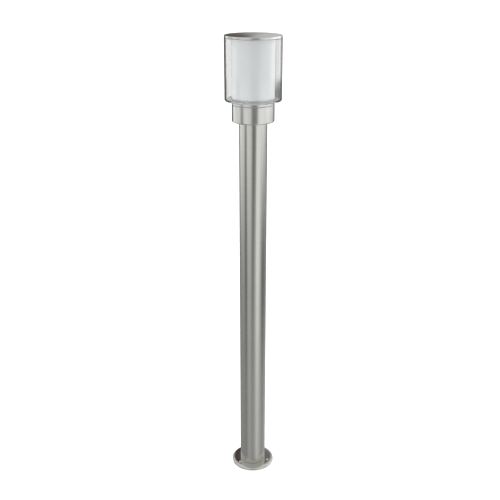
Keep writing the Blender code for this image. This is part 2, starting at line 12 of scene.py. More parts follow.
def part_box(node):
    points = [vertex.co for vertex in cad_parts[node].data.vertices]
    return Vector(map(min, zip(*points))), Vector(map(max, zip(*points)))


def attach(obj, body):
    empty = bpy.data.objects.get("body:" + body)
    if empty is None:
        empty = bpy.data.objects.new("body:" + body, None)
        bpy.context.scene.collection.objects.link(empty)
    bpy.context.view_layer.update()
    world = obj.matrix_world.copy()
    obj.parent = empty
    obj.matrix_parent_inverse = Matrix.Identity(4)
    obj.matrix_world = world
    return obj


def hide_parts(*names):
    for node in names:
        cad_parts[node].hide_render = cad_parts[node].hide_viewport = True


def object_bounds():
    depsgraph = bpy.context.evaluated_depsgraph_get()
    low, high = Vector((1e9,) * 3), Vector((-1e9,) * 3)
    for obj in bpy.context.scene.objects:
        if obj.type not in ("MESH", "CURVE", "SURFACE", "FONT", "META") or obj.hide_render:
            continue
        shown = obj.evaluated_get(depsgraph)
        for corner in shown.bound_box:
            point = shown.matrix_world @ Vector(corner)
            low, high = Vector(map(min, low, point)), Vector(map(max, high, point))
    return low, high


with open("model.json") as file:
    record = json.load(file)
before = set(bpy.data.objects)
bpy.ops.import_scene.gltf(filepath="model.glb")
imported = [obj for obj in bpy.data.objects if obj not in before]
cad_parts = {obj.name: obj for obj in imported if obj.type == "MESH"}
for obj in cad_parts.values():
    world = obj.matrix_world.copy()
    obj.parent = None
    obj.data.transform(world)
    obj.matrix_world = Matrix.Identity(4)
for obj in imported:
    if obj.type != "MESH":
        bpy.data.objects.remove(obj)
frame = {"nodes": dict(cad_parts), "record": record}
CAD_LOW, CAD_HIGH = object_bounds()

BODY_OF = {
    node: body
    for body, nodes in frame["record"]["behaviour"]["bodies"].items()
    for node in nodes
}
SLOT_OF = {row["node"]: row["material_slot"] for row in frame["record"]["subparts"]}

# places shared by several pieces
LAMP_PITCH = 0.0254 / 7
LAMP_CREST_R = 0.0132
LAMP_THREAD_DEPTH = 0.0009
SCREW_PITCH = 0.0007
SCREW_GROOVE = 0.00022
SET_SCREW_Z = 0.8815
TERMINAL_Z = 0.8605
LEAD_R = 0.0011
HOLDER_SCREW_X = 0.012
BRACKET_SCREW_X = 0.023
EARTH_SCREW_XY = 0.017
COLLAR_SCREW_SPOTS = (
    (-BRACKET_SCREW_X, 0.0), (BRACKET_SCREW_X, 0.0), (-0.014, -0.017), (0.014, -0.017),
    (EARTH_SCREW_XY, EARTH_SCREW_XY),
)


# ---------------------------------------------------------------- camera
def make_camera():
    """A camera a little above the lid, looking down at the light from its front."""
    height = 1.1689
    distance = 1.5664
    pitch = math.radians(21.22)
    yaw = math.radians(0.245)
    data = bpy.data.cameras.new("camera")
    data.sensor_width = 36.0
    data.lens = 53.91
    data.clip_start = 0.05
    data.clip_end = 60.0
    camera = bpy.data.objects.new("camera", data)
    camera.location = (0.0, -distance, height)
    camera.rotation_euler = (math.pi / 2 - pitch, 0.0, yaw)
    bpy.context.scene.collection.objects.link(camera)
    bpy.context.scene.camera = camera


make_camera()


# ---------------------------------------------------------------- node helpers
class Graph:
    """A small wrapper that adds and links shader nodes."""

    def __init__(self, tree):
        self.tree = tree

    def node(self, kind, **settings):
        made = self.tree.nodes.new(kind)
        for key, value in settings.items():
            setattr(made, key, value)
        return made

    def link(self, output, target):
        self.tree.links.new(output, target)

    def feed(self, socket, value):
        """Link an output to a socket, or set the socket to a plain value."""
        if isinstance(value, bpy.types.NodeSocket):
            self.link(value, socket)
        else:
            socket.default_value = value

    def math(self, operation, a, b=0.0, c=0.0):
        made = self.node("ShaderNodeMath", operation=operation)
        for socket, value in zip(made.inputs, (a, b, c)):
            self.feed(socket, value)
        return made.outputs[0]

    def ramp(self, factor, stops):
        """A colour ramp; each stop is a position and a grey level or a colour."""
        made = self.node("ShaderNodeValToRGB")
        elements = made.color_ramp.elements
        while len(elements) < len(stops):
            elements.new(0.5)
        for element, (position, colour) in zip(elements, stops):
            element.position = position
            grey = isinstance(colour, (int, float))
            element.color = (colour, colour, colour, 1.0) if grey else (*colour, 1.0)
        self.feed(made.inputs["Fac"], factor)
        return made.outputs["Color"]

    def spread(self, value, low, high, out_low, out_high):
        """Map a value from one range to another, clamped."""
        made = self.node("ShaderNodeMapRange")
        for socket, given in zip(made.inputs, (value, low, high, out_low, out_high)):
            self.feed(socket, given)
        return made.outputs["Result"]

    def mix(self, factor, a, b):
        made = self.node("ShaderNodeMix", data_type="RGBA")
        self.feed(made.inputs["Factor"], factor)
        self.feed(made.inputs[6], a)
        self.feed(made.inputs[7], b)
        return made.outputs[2]

    def place(self, *scale):
        """Object coordinates, scaled along each axis, or alike along all three."""
        coordinates = self.node("ShaderNodeTexCoord").outputs["Object"]
        scaled = self.node("ShaderNodeVectorMath", operation="MULTIPLY")
        self.link(coordinates, scaled.inputs[0])
        scaled.inputs[1].default_value = scale if len(scale) == 3 else scale * 3
        return scaled.outputs[0]

    def noise(self, vector, detail=3.0, roughness=0.5):
        made = self.node("ShaderNodeTexNoise")
        self.link(vector, made.inputs["Vector"])
        made.inputs["Scale"].default_value = 1.0
        made.inputs["Detail"].default_value = detail
        made.inputs["Roughness"].default_value = roughness
        return made.outputs["Fac"]

    def bump(self, height, strength, distance):
        made = self.node("ShaderNodeBump")
        self.link(height, made.inputs["Height"])
        made.inputs["Strength"].default_value = strength
        made.inputs["Distance"].default_value = distance
        return made.outputs["Normal"]


def new_material(name):
    """An empty Principled material: its graph and its shader."""
    made = bpy.data.materials.new(name)
    made.use_nodes = True
    graph = Graph(made.node_tree)
    return made, graph, made.node_tree.nodes["Principled BSDF"]


def lathe_vector(graph, along, across):
    """Coordinates that change slowly round the axis and fast across the turning marks."""
    coordinates = graph.node("ShaderNodeTexCoord").outputs["Object"]
    split = graph.node("ShaderNodeSeparateXYZ")
    graph.link(coordinates, split.inputs[0])
    x, y, z = split.outputs
    radius = graph.math("SQRT", graph.math("ADD", graph.math("MULTIPLY", x, x),
                                           graph.math("MULTIPLY", y, y)))
    joined = graph.node("ShaderNodeCombineXYZ")
    graph.link(graph.math("MULTIPLY", x, along), joined.inputs[0])
    graph.link(graph.math("MULTIPLY", y, along), joined.inputs[1])
    graph.link(graph.math("MULTIPLY", graph.math("ADD", radius, z), across), joined.inputs[2])
    return joined.outputs[0]


# ---------------------------------------------------------------- materials
CLEAR_INDEX = 1.49
SILICONE_INDEX = 1.41
# colour and top height of the darkening towards the floor on the pole and the flange
FOOT_DARK_COLOUR = (0.36, 0.34, 0.30, 1.0)
FOOT_DARK_TOP_Z = 0.10


def brushed_round(name, colour, roughness, anisotropy, scratch, foot_dark=0.0):
    """Stainless steel brushed round its axis, with fine and coarse marks."""
    made, graph, shader = new_material(name)
    fine = graph.noise(lathe_vector(graph, 14.0, 5200.0), 4.0, 0.7)
    coarse = graph.noise(lathe_vector(graph, 6.0, 900.0), 2.0)
    cloud = graph.noise(graph.place(16.0, 16.0, 9.0), 3.0)
    marks = graph.math("ADD", graph.math("MULTIPLY", fine, 0.65),
                       graph.math("MULTIPLY", coarse, 0.35))
    shade = graph.spread(marks, 0.30, 0.70, 0.93, 1.05)
    shade = graph.math("MULTIPLY", shade, graph.spread(cloud, 0.3, 0.7, 0.97, 1.02))
    tint = graph.mix(cloud, (*colour, 1.0), (colour[0] * 0.985, colour[1], colour[2] * 0.97, 1.0))
    lit = graph.node("ShaderNodeVectorMath", operation="SCALE")
    graph.link(tint, lit.inputs[0])
    graph.link(shade, lit.inputs["Scale"])
    base = lit.outputs[0]
    # darker and browner towards the floor, up to the height above, broken into clouds
    if foot_dark:
        height = graph.node("ShaderNodeSeparateXYZ")
        graph.link(graph.node("ShaderNodeTexCoord").outputs["Object"], height.inputs[0])
        low = graph.spread(height.outputs[2], 0.0, FOOT_DARK_TOP_Z, foot_dark, 0.0)
        low = graph.math("MULTIPLY", low, graph.spread(cloud, 0.35, 0.65, 0.2, 1.0))
        base = graph.mix(low, base, FOOT_DARK_COLOUR)
    graph.link(base, shader.inputs["Base Color"])
    shader.inputs["Metallic"].default_value = 1.0
    rough = graph.spread(marks, 0.25, 0.75, roughness * 0.86, roughness * 1.18)
    graph.link(rough, shader.inputs["Roughness"])
    shader.inputs["Anisotropic"].default_value = anisotropy
    shader.inputs["Anisotropic Rotation"].default_value = 0.25
    tangent = graph.node("ShaderNodeTangent", direction_type="RADIAL", axis="Z")
    graph.link(tangent.outputs[0], shader.inputs["Tangent"])
    graph.link(graph.bump(marks, scratch, 0.00004), shader.inputs["Normal"])
    return made


def plain_metal(name, colour, roughness, mottle):
    """Plated or turned metal with a fine mottle and scuffs."""
    made, graph, shader = new_material(name)
    grain = graph.noise(graph.place(900.0), 4.0)
    patch = graph.noise(graph.place(120.0), 3.0)
    darker = tuple(c * (1.0 - mottle) for c in colour)
    graph.link(graph.mix(patch, (*darker, 1.0), (*colour, 1.0)), shader.inputs["Base Color"])
    shader.inputs["Metallic"].default_value = 1.0
    graph.link(graph.spread(grain, 0.3, 0.7, roughness * 0.8, roughness * 1.25),
               shader.inputs["Roughness"])
    graph.link(graph.bump(grain, 0.12, 0.00005), shader.inputs["Normal"])
    return made


def moulded(name, colour, roughness, peel=0.10, scale=1400.0, coat=0.0, vary=0.05):
    """Moulded plastic, rubber or ceramic with a fine surface texture."""
    made, graph, shader = new_material(name)
    grain = graph.noise(graph.place(scale), 3.0)
    patch = graph.noise(graph.place(60.0), 2.0)
    darker = tuple(c * (1.0 - vary) for c in colour)
    graph.link(graph.mix(patch, (*darker, 1.0), (*colour, 1.0)), shader.inputs["Base Color"])
    graph.link(graph.spread(grain, 0.3, 0.7, roughness * 0.85, roughness * 1.15),
               shader.inputs["Roughness"])
    shader.inputs["Coat Weight"].default_value = coat
    graph.link(graph.bump(grain, peel, 0.00004), shader.inputs["Normal"])
    return made


def clear_glass(name):
    """Clear thick wall, very slightly wavy, as drawn glass is."""
    made, graph, shader = new_material(name)
    wave = graph.noise(graph.place(9.0, 9.0, 14.0), 1.0)
    smear = graph.noise(graph.place(70.0, 70.0, 26.0), 4.0)
    shader.inputs["Base Color"].default_value = (0.915, 0.922, 0.922, 1.0)
    graph.link(graph.spread(smear, 0.45, 0.85, 0.0, 0.05), shader.inputs["Roughness"])
    shader.inputs["Transmission Weight"].default_value = 1.0
    shader.inputs["IOR"].default_value = CLEAR_INDEX
    graph.link(graph.bump(wave, 0.08, 0.0006), shader.inputs["Normal"])
    return made


def opal(name, colour, roughness, depth):
    """Milky diffuser that scatters light a few millimetres deep."""
    made, graph, shader = new_material(name)
    cloud = graph.noise(graph.place(35.0, 35.0, 22.0), 3.0)
    grain = graph.noise(graph.place(1600.0), 2.0)
    cooler = (colour[0] * 0.985, colour[1] * 0.992, colour[2], 1.0)
    graph.link(graph.mix(cloud, cooler, (*colour, 1.0)), shader.inputs["Base Color"])
    graph.link(graph.spread(grain, 0.3, 0.7, roughness * 0.9, roughness * 1.1),
               shader.inputs["Roughness"])
    shader.inputs["Subsurface Weight"].default_value = 0.35
    shader.inputs["Subsurface Radius"].default_value = (1.0, 1.0, 1.0)
    shader.inputs["Subsurface Scale"].default_value = depth
    shader.inputs["IOR"].default_value = CLEAR_INDEX
    graph.link(graph.bump(grain, 0.03, 0.00003), shader.inputs["Normal"])
    return made


def silicone(name):
    """Cloudy, slightly see-through seal."""
    made, graph, shader = new_material(name)
    cloud = graph.noise(graph.place(200.0), 3.0)
    graph.link(graph.mix(cloud, (0.46, 0.48, 0.47, 1.0), (0.56, 0.575, 0.565, 1.0)),
               shader.inputs["Base Color"])
    graph.link(graph.spread(cloud, 0.3, 0.7, 0.38, 0.52), shader.inputs["Roughness"])
    shader.inputs["Transmission Weight"].default_value = 0.35
    shader.inputs["IOR"].default_value = SILICONE_INDEX
    return made


def striped_insulation(name):
    """Green sheath with a yellow stripe down each side."""
    made, graph, shader = new_material(name)
    side = graph.node("ShaderNodeAttribute", attribute_name="side")
    stripe = graph.spread(side.outputs["Fac"], -0.30, -0.22, 1.0, 0.0)
    grain = graph.noise(graph.place(900.0), 2.0)
    graph.link(graph.mix(stripe, (0.06, 0.30, 0.09, 1.0), (0.82, 0.66, 0.05, 1.0)),
               shader.inputs["Base Color"])
    graph.link(graph.spread(grain, 0.3, 0.7, 0.36, 0.50), shader.inputs["Roughness"])
    return made


MATERIALS = {
    "pole_steel": brushed_round("pole_steel", (0.63, 0.63, 0.60), 0.17, 0.75, 0.14, 0.25),
    "collar_steel": brushed_round("collar_steel", (0.67, 0.67, 0.65), 0.18, 0.75, 0.18),
    "lid_steel": brushed_round("lid_steel", (0.64, 0.635, 0.63), 0.20, 0.60, 0.22),
    "flange_steel": brushed_round("flange_steel", (0.60, 0.59, 0.575), 0.10, 0.30, 0.12, 0.12),
    "zinc_steel": plain_metal("zinc_steel", (0.66, 0.67, 0.68), 0.36, 0.14),
    "screw_steel": plain_metal("screw_steel", (0.58, 0.58, 0.57), 0.28, 0.12),
    "brass": plain_metal("brass", (0.80, 0.62, 0.30), 0.28, 0.16),
    "nickel": plain_metal("nickel", (0.74, 0.71, 0.65), 0.24, 0.10),
    "board_aluminium": moulded("board_aluminium", (0.62, 0.63, 0.62), 0.40, 0.05),
    "led_phosphor": moulded("led_phosphor", (0.86, 0.72, 0.16), 0.35, 0.05),
    "clear_glass": clear_glass("clear_glass"),
    "opal_plastic": opal("opal_plastic", (0.87, 0.885, 0.885), 0.28, 0.004),
    "lamp_opal": opal("lamp_opal", (0.60, 0.60, 0.575), 0.42, 0.003),
    "white_plastic": moulded("white_plastic", (0.54, 0.54, 0.525), 0.38, 0.12),
    "nylon": moulded("nylon", (0.55, 0.53, 0.46), 0.45, 0.10),
    "ceramic": moulded("ceramic", (0.58, 0.57, 0.53), 0.22, 0.05, 300.0, 0.8, 0.03),
    "rubber": moulded("rubber", (0.085, 0.085, 0.088), 0.62, 0.30, 1100.0, 0.0, 0.35),
    "silicone": silicone("silicone"),
    "black_insulator": moulded("black_insulator", (0.02, 0.02, 0.025), 0.12, 0.03, 500.0, 0.5),
    "brown_insulation": moulded("brown_insulation", (0.17, 0.07, 0.035), 0.42, 0.06),
    "blue_insulation": moulded("blue_insulation", (0.03, 0.13, 0.45), 0.42, 0.06),
    "green_insulation": striped_insulation("green_insulation"),
}


# ---------------------------------------------------------------- mesh helpers
def filleted(corners, steps=5):
    """An outline from (radius, height, fillet) corners, with arcs in place of the corners.

    A guard point beside each arc keeps the flats shaded flat.
    """
    points = []
    count = len(corners)
    for i, (r, z, fillet) in enumerate(corners):
        here = Vector((r, z))
        if not fillet:
            points.append((r, z))
            continue
        before = Vector(corners[i - 1][:2]) - here
        after = Vector(corners[(i + 1) % count][:2]) - here
        room = min(before.length, after.length) / 2
        before.normalize()
        after.normalize()
        half = before.angle(after) / 2
        reach = fillet / math.tan(half)
        centre = here + (before + after).normalized() * (fillet / math.sin(half))
        start = here + before * reach - centre
        end = here + after * reach - centre
        turn = start.angle_signed(end)
        guard = reach * 1.3
        if guard < room:
            points.append(tuple(here + before * guard))
        for k in range(steps + 1):
            angle = -turn * k / steps
            x = start.x * math.cos(angle) - start.y * math.sin(angle)
            y = start.x * math.sin(angle) + start.y * math.cos(angle)
            points.append((centre.x + x, centre.y + y))
        if guard < room:
            points.append(tuple(here + after * guard))
    return points


def grid_mesh(name, rows, closed):
    """Quads between rings of points, with each ring closed round the axis."""
    verts, starts = [], []
    for row in rows:
        starts.append((len(verts), len(row)))
        verts.extend(row)
    faces = []
    pairs = list(zip(starts, starts[1:]))
    if closed:
        pairs.append((starts[-1], starts[0]))
    for (a, count_a), (b, count_b) in pairs:
        sides = max(count_a, count_b)
        for i in range(sides):
            j = (i + 1) % sides
            if count_a == 1:
                faces.append((a, b + i, b + j))
            elif count_b == 1:
                faces.append((a + j, a + i, b))
            else:
                faces.append((a + j, a + i, b + i, b + j))
    mesh = bpy.data.meshes.new(name)
    mesh.from_pydata(verts, [], faces)
    mesh.validate()
    return mesh


def circle(sides, z, radius_at):
    """A ring of points about the axis, with a radius that may change with the angle."""
    points = []
    for i in range(sides):
        angle = math.tau * i / sides
        r = radius_at(angle)
        points.append((r * math.cos(angle), r * math.sin(angle), z))
    return points


def lathe_mesh(name, outline, sides):
    """Turn an outline about Z; points on the axis become single vertices."""
    rows = []
    step = math.tau / sides
    for r, z in outline:
        if r == 0.0:
            rows.append([(0.0, 0.0, z)])
            continue
        rows.append([(r * math.cos(i * step), r * math.sin(i * step), z) for i in range(sides)])
    return grid_mesh(name, rows, closed=outline[0][0] != 0.0)


SHARP_ANGLE = 32.0


def smooth(mesh, angle):
    """Shade smooth, with sharp edges where faces meet steeply, and normals out."""
    bm = bmesh.new()
    bm.from_mesh(mesh)
    bmesh.ops.recalc_face_normals(bm, faces=bm.faces)
    bm.to_mesh(mesh)
    bm.free()
    mesh.shade_smooth()
    mesh.set_sharp_from_angle(angle=math.radians(angle))


def settle(obj, angle):
    """Apply an object's modifiers, then shade it."""
    bpy.context.view_layer.update()
    evaluated = obj.evaluated_get(bpy.context.evaluated_depsgraph_get())
    mesh = bpy.data.meshes.new_from_object(evaluated)
    obj.modifiers.clear()
    obj.data = mesh
    smooth(obj.data, angle)


def piece(name, mesh, *nodes, material=None, body=None, angle=SHARP_ANGLE, shaded=True):
    """Make a piece from a mesh that stands for CAD nodes and rides on their body."""
    obj = bpy.data.objects.new(f"{name}_fine", mesh)
    bpy.context.scene.collection.objects.link(obj)
    if shaded:
        smooth(mesh, angle)
    slot = material or SLOT_OF[nodes[0]]
    mesh.materials.clear()
    mesh.materials.append(MATERIALS[slot])
    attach(obj, body or BODY_OF[nodes[0]])
    if nodes:
        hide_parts(*nodes)
    return obj


def turned(node, corners, sides=128, steps=5, **options):
    """A turned piece that stands for a CAD node, from (radius, height, fillet) corners."""
    return piece(node, lathe_mesh(node, filleted(corners, steps), sides), node, **options)


def ring(node, fillet=0.0002, sides=128):
    """A plain ring with eased edges, in the CAD node's own box and bore."""
    inner, outer, low, high = ring_size(node)
    corners = [(inner, high, fillet), (outer, high, fillet)]
    corners += [(outer, low, fillet), (inner, low, fillet)]
    return turned(node, corners, sides, 3)


def ring_size(node):
    """Inner and outer radius and the heights of a CAD ring."""
    low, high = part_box(node)
    radii = [math.hypot(v.co.x, v.co.y) for v in frame["nodes"][node].data.vertices]
    return min(radii), high.x, low.z, high.z


def upright_bar(sides, spot, low, high, radius):
    """A round bar along Z at a place in plan, for cutting a hole."""
    return bar_mesh(sides, (*spot, low), (*spot, high), radius)


def bar_mesh(sides, start, end, radius, end_radius=None):
    """A straight round or six-sided bar between two points."""
    start, end = Vector(start), Vector(end)
    bm = bmesh.new()
    bmesh.ops.create_cone(
        bm, cap_ends=True, segments=sides, radius1=radius,
        radius2=radius if end_radius is None else end_radius, depth=(end - start).length)
    turn = (end - start).to_track_quat("Z", "Y").to_matrix().to_4x4()
    bm.transform(Matrix.Translation((start + end) / 2) @ turn)
    mesh = bpy.data.meshes.new("bar")
    bm.to_mesh(mesh)
    bm.free()
    return mesh


def block_mesh(low, high):
    """A box between two corners."""
    low, high = Vector(low), Vector(high)
    bm = bmesh.new()
    bmesh.ops.create_cube(bm, size=1.0)
    bmesh.ops.scale(bm, vec=high - low, verts=bm.verts)
    bmesh.ops.translate(bm, vec=(low + high) / 2, verts=bm.verts)
    mesh = bpy.data.meshes.new("block")
    bm.to_mesh(mesh)
    bm.free()
    return mesh


def carve(obj, meshes, operation="DIFFERENCE", angle=SHARP_ANGLE):
    """Cut meshes out of an object, or join them on, and shade the result."""
    tools = []
    for mesh in meshes:
        tool = bpy.data.objects.new("tool", mesh)
        bpy.context.scene.collection.objects.link(tool)
        step = obj.modifiers.new("cut", "BOOLEAN")
        step.operation = operation
        step.solver = "EXACT"
        step.object = tool
        tools.append(tool)
    material = obj.data.materials[0]
    settle(obj, angle)
    obj.data.materials.clear()
    obj.data.materials.append(material)
    for tool in tools:
        bpy.data.objects.remove(tool)
    return obj


def tube_mesh(name, points, radius, sides=24):
    """A round tube with domed ends along points, with its side angle as an attribute."""
    rows = [[tuple(points[0])]]
    normal = Vector((0.0, 0.0, 1.0))
    count = len(points)
    angles = [math.tau * k / sides for k in range(sides)]
    for i, point in enumerate(points):
        ahead = points[min(i + 1, count - 1)] - points[max(i - 1, 0)]
        ahead.normalize()
        normal = (normal - ahead * normal.dot(ahead)).normalized()
        across = ahead.cross(normal)
        scale = 0.86 if i in (0, count - 1) else 1.0
        rows.append([
            tuple(point + (normal * math.cos(a) + across * math.sin(a)) * radius * scale)
            for a in angles])
    rows.append([tuple(points[-1])])
    sides_at = [0.0, *[math.cos(2 * a) for a in angles] * count, 0.0]
    mesh = grid_mesh(name, rows, closed=False)
    values = mesh.attributes.new("side", "FLOAT", "POINT")
    values.data.foreach_set("value", np.array(sides_at, np.float32))
    return mesh


def smooth_route(points, per_span=8):
    """Points along a Catmull-Rom curve through a route's own points."""
    points = [Vector(p) for p in points]
    ends = [points[0] * 2 - points[1], *points, points[-1] * 2 - points[-2]]
    route = []
    for a, b, c, d in zip(ends, ends[1:], ends[2:], ends[3:]):
        for i in range(per_span):
            t = i / per_span
            route.append(0.5 * (
                2 * b + (c - a) * t + (2 * a - 5 * b + 4 * c - d) * t ** 2
                + (3 * b - a - 3 * c + d) * t ** 3))
    route.append(points[-1])
    return route


# ---------------------------------------------------------------- pole and foot
def make_base_flange():
    """The foot: slightly crowned, with a rolled edge and countersunk fixing holes."""
    low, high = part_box("base_flange")
    radius = high.x
    top = 0.006
    spigot = 0.0282
    spigot_bore = 0.025
    cable_hole = 0.010
    recess = 0.016
    recess_top = 0.002
    crown_start, crown_width, crown_fall, crown_steps = 0.0306, 0.0174, 0.0013, 12
    crown = []
    for i in range(crown_steps + 1):
        out = i / crown_steps
        crown.append((crown_start + crown_width * out, top - crown_fall * out ** 4.5, 0.0))
    flange = turned("base_flange", [
        (cable_hole, top, 0.0002), (spigot_bore, top, 0.0002), (spigot_bore, high.z, 0.0004),
        (spigot, high.z, 0.0004), (spigot, top, 0.0), *crown,
        (radius - 0.0006, 0.0040, 0.0009), (radius, 0.0028, 0.0006), (radius, low.z, 0.0005),
        (recess, low.z, 0.0003), (recess, recess_top, 0.0002), (cable_hole, recess_top, 0.0002),
    ], 192, 8)
    bolt_circle = 0.040
    cuts = []
    for angle in (98, 218, 338):
        x = bolt_circle * math.cos(math.radians(angle))
        y = bolt_circle * math.sin(math.radians(angle))
        cuts.append(upright_bar(40, (x, y), -0.002, 0.009, 0.00275))
        cuts.append(bar_mesh(40, (x, y, 0.0040), (x, y, 0.0062), 0.00255, 0.0044))
    carve(flange, cuts)


def make_grommet(node):
    """Rubber grommet: two lips and the neck between them."""
    inner, lip, low, high = ring_size(node)
    lip_thick = 0.0014
    neck = lip - 0.0028
    turned(node, [
        (inner, high, 0.0004), (lip, high, 0.0006), (lip, high - lip_thick, 0.0003),
        (neck, high - lip_thick, 0.0002), (neck, low + lip_thick, 0.0002),
        (lip, low + lip_thick, 0.0003), (lip, low, 0.0006), (inner, low, 0.0004),
    ], 96)


def make_pole():
    """The pole and the plate welded in its top."""
    ring("pole_tube", 0.0003, 192)
    plate = ring("pole_top_plate", 0.0003)
    carve(plate, [upright_bar(24, spot, 0.8345, 0.8645, 0.0022) for spot in COLLAR_SCREW_SPOTS])


# ---------------------------------------------------------------- collar
def make_collar_cup():
    """Drawn cup with a rolled bottom edge and tapped holes."""
    low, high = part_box("collar_cup")
    radius = high.x
    inner = radius - 0.0015
    floor = low.z + 0.002
    cable_hole = 0.008
    cup = turned("collar_cup", [
        (inner, high.z, 0.0003), (radius, high.z, 0.0002), (radius, low.z, 0.0022),
        (cable_hole, low.z, 0.0002), (cable_hole, floor, 0.0002), (inner, floor, 0.0018),
    ], 192, 8)
    cuts = [upright_bar(24, spot, 0.8445, 0.8645, 0.0022) for spot in COLLAR_SCREW_SPOTS]
    for side in (-1, 1):
        for start, end, mouth in ((0.040, 0.048, 0.00225), (0.0445, 0.0455, 0.0029)):
            cuts.append(bar_mesh(32, (side * start, 0.0, SET_SCREW_Z), (side * end, 0.0, SET_SCREW_Z),
                                 0.00225, mouth))
    carve(cup, cuts)
    ring("collar_gasket", 0.0001, 192)


def grooves(radius, start_z, length):
    """Corners of a screw's grooves from a height downwards, for a length of thread."""
    count = int(length / (SCREW_PITCH / 2))
    return [(radius - SCREW_GROOVE * (i % 2), start_z - i * SCREW_PITCH / 2, 0.0)
            for i in range(count)]


def screw_mesh(outline, drive):
    """A screw's mesh: its outline turned about Z, less the shapes of its drive."""
    obj = bpy.data.objects.new("screw", lathe_mesh("screw", outline, 48))
    bpy.context.scene.collection.objects.link(obj)
    obj.data.materials.append(MATERIALS["screw_steel"])
    carve(obj, drive)
    mesh = obj.data
    bpy.data.objects.remove(obj)
    return mesh


def set_screw_mesh():
    """Set screw with a hexagon socket, thread grooves and a cup point, along +Z."""
    low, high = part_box("head_screw_right")
    length = high.x - low.x
    radius = 0.0020
    corners = [(0.0, length, 0.0), (radius - 0.0004, length, 0.0)]
    corners += grooves(radius, length - 0.0004, length - 0.0014)
    corners += [(radius - 0.0006, 0.0004, 0.0), (0.0011, 0.0, 0.0), (0.0, 0.0005, 0.0)]
    socket = bar_mesh(6, (0, 0, length - 0.0024), (0, 0, length + 0.001), 0.00115)
    return screw_mesh(filleted(corners), [socket])


def make_head_screws():
    """The two set screws at the collar's sides and their weld nuts."""
    shape = set_screw_mesh()
    for side, word in ((-1, "left"), (1, "right")):
        node = f"head_screw_{word}"
        low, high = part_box(node)
        tip = low.x if side > 0 else high.x
        mesh = shape.copy()
        mesh.transform(Matrix.Translation((tip, 0.0, SET_SCREW_Z))
                       @ Matrix.Rotation(side * math.pi / 2, 4, "Y"))
        piece(node, mesh, node, shaded=False)
        nut_node = f"weld_nut_{word}"
        low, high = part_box(nut_node)
        block = bar_mesh(6, (low.x, 0, SET_SCREW_Z), (high.x, 0, SET_SCREW_Z), 0.0040)
        nut = piece(nut_node, block, nut_node, shaded=False)
        bevel = nut.modifiers.new("edges", "BEVEL")
        bevel.width = 0.0003
        bevel.segments = 2
        carve(nut, [bar_mesh(32, (low.x - 0.002, 0, SET_SCREW_Z), (high.x + 0.002, 0, SET_SCREW_Z),
                             0.00225)])


HEAD_HEIGHT = 1.2    # of a pan head, in shank radii


def pan_screw_mesh(length, radius):
    """Pan head screw with a cross recess, its seat at z 0, pointing down."""
    head_r = 1.8 * radius
    head_h = HEAD_HEIGHT * radius
    corners = [(0.0, head_h, 0.0), (0.55 * head_r, 0.97 * head_h, 0.0006)]
    corners += [(head_r, 0.50 * head_h, 0.0004), (head_r, 0.0, 0.0002), (radius, 0.0, 0.0)]
    corners += grooves(radius, -0.0003, length - 0.0010)
    corners += [(radius - 0.0006, -length, 0.0), (0.0, -length, 0.0)]
    arm = 0.95 * radius
    slot = 0.17 * radius
    deep = 0.35 * head_h
    return screw_mesh(filleted(corners, 3), [
        block_mesh((-arm, -slot, deep), (arm, slot, head_h + 0.001)),
        block_mesh((-slot, -arm, deep), (slot, arm, head_h + 0.001)),
    ])


def make_pan_screws():
    """The screws in the collar, each turned to its own angle."""
    rng = random.Random(4)
    for node in ("bracket_screw_left", "bracket_screw_right", "collar_screw_left",
                 "collar_screw_right", "earth_screw"):
        low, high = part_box(node)
        radius = 0.0020
        seat = high.z - HEAD_HEIGHT * radius
        mesh = pan_screw_mesh(seat - low.z, radius)
        spot = Matrix.Translation(((low.x + high.x) / 2, (low.y + high.y) / 2, seat))
        mesh.transform(spot @ Matrix.Rotation(rng.uniform(0.0, math.pi), 4, "Z"))
        piece(node, mesh, node, shaded=False)
    for node in ("holder_screw_left", "holder_screw_right"):
        low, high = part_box(node)
        radius = 0.0018
        seat = low.z + HEAD_HEIGHT * radius
        mesh = pan_screw_mesh(high.z - seat, radius)
        spot = Matrix.Translation(((low.x + high.x) / 2, 0.0, seat))
        mesh.transform(spot @ Matrix.Rotation(math.pi, 4, "X"))
        piece(node, mesh, node, shaded=False)


def make_holder_bracket():
    """Folded strap with rounded bends and rounded ends."""
    low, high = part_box("holder_bracket")
    sheet = 0.0015
    half_width = high.y
    foot_z = low.z + sheet / 2
    bridge_z = high.z - sheet / 2
    leg = 0.01725
    corners = [
        (-high.x, foot_z, 0.0), (-leg, foot_z, 0.0016), (-leg, bridge_z, 0.0016),
        (leg, bridge_z, 0.0016), (leg, foot_z, 0.0016), (high.x, foot_z, 0.0),
    ]
    line = filleted(corners, 6)
    points = [(x, y, z) for x, z in line for y in (-half_width, half_width)]
    faces = [(2 * i, 2 * i + 2, 2 * i + 3, 2 * i + 1) for i in range(len(line) - 1)]
    mesh = bpy.data.meshes.new("holder_bracket")
    mesh.from_pydata(points, [], faces)
    strap = piece("holder_bracket", mesh, "holder_bracket", shaded=False)
    thick = strap.modifiers.new("sheet", "SOLIDIFY")
    thick.thickness = sheet
    thick.offset = 0.0
    thick.use_even_offset = True
    cuts = []
    for side in (-1, 1):
        cuts.append(upright_bar(24, (side * BRACKET_SCREW_X, 0), 0.8445, 0.8590, 0.0023))
    for side in (-1, 1):
        cuts.append(upright_bar(24, (side * HOLDER_SCREW_X, 0), 0.8615, 0.8705, 0.0021))
    carve(strap, cuts)
    soften = strap.modifiers.new("edges", "BEVEL")
    soften.width = 0.0002
    soften.segments = 2
    soften.angle_limit = math.radians(50)


def thread_radius(angle, z, crest, depth):
    """Radius of a rounded right-hand thread at an angle and a height."""
    phase = math.tau * z / LAMP_PITCH - angle
    return crest - depth * (0.5 - 0.5 * math.cos(phase))


